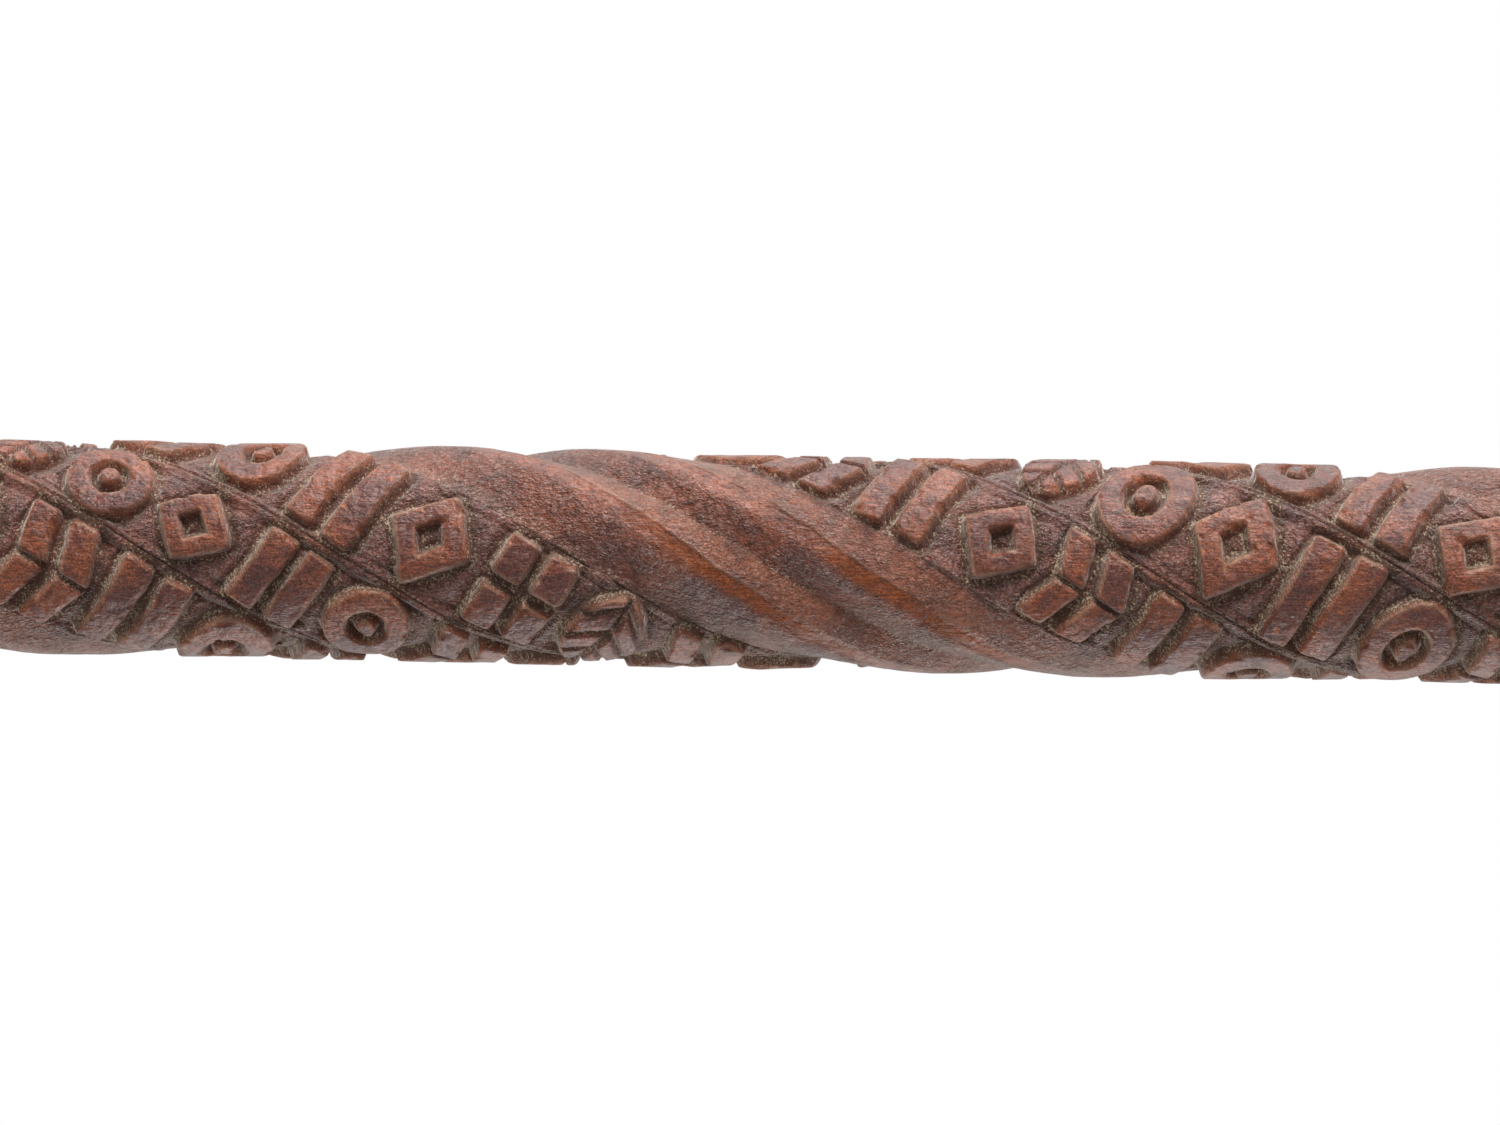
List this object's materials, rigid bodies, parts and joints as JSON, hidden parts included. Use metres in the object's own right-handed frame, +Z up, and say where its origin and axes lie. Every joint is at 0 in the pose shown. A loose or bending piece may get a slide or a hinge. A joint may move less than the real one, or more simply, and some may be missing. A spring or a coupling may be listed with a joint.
{
  "type": "carved walking stick",
  "caption": "Twisted hardwood walking stick, relief-carved in spiral rows beside a ridged band, with a turned knob, brass collar and shod foot.",
  "frame": {"origin": "centre of the heel's flat face, where the upright stick meets the ground", "axes": "+Z up along the shaft towards the knob; -Y is the side that the picture shows"},
  "size_m": [0.042, 0.042, 0.9],
  "materials": {
    "carved_wood": "old satin varnish over hand carving, worn on the high edges, dust in the recesses",
    "knob_wood": "turned and polished by handling",
    "brass": "aged, dull, with fine scratches",
    "iron": "worn and dark",
    "steel": "plain, hidden in the wood"
  },
  "bodies": {
    "root": {"shaft": "carved_wood", "handle": "knob_wood", "handle_screw": "steel", "collar": "brass", "collar_pin_1": "brass", "collar_pin_2": "brass", "ferrule": "brass", "ferrule_pin_1": "brass", "ferrule_pin_2": "brass", "ferrule_heel": "iron"}
  },
  "joints": []
}
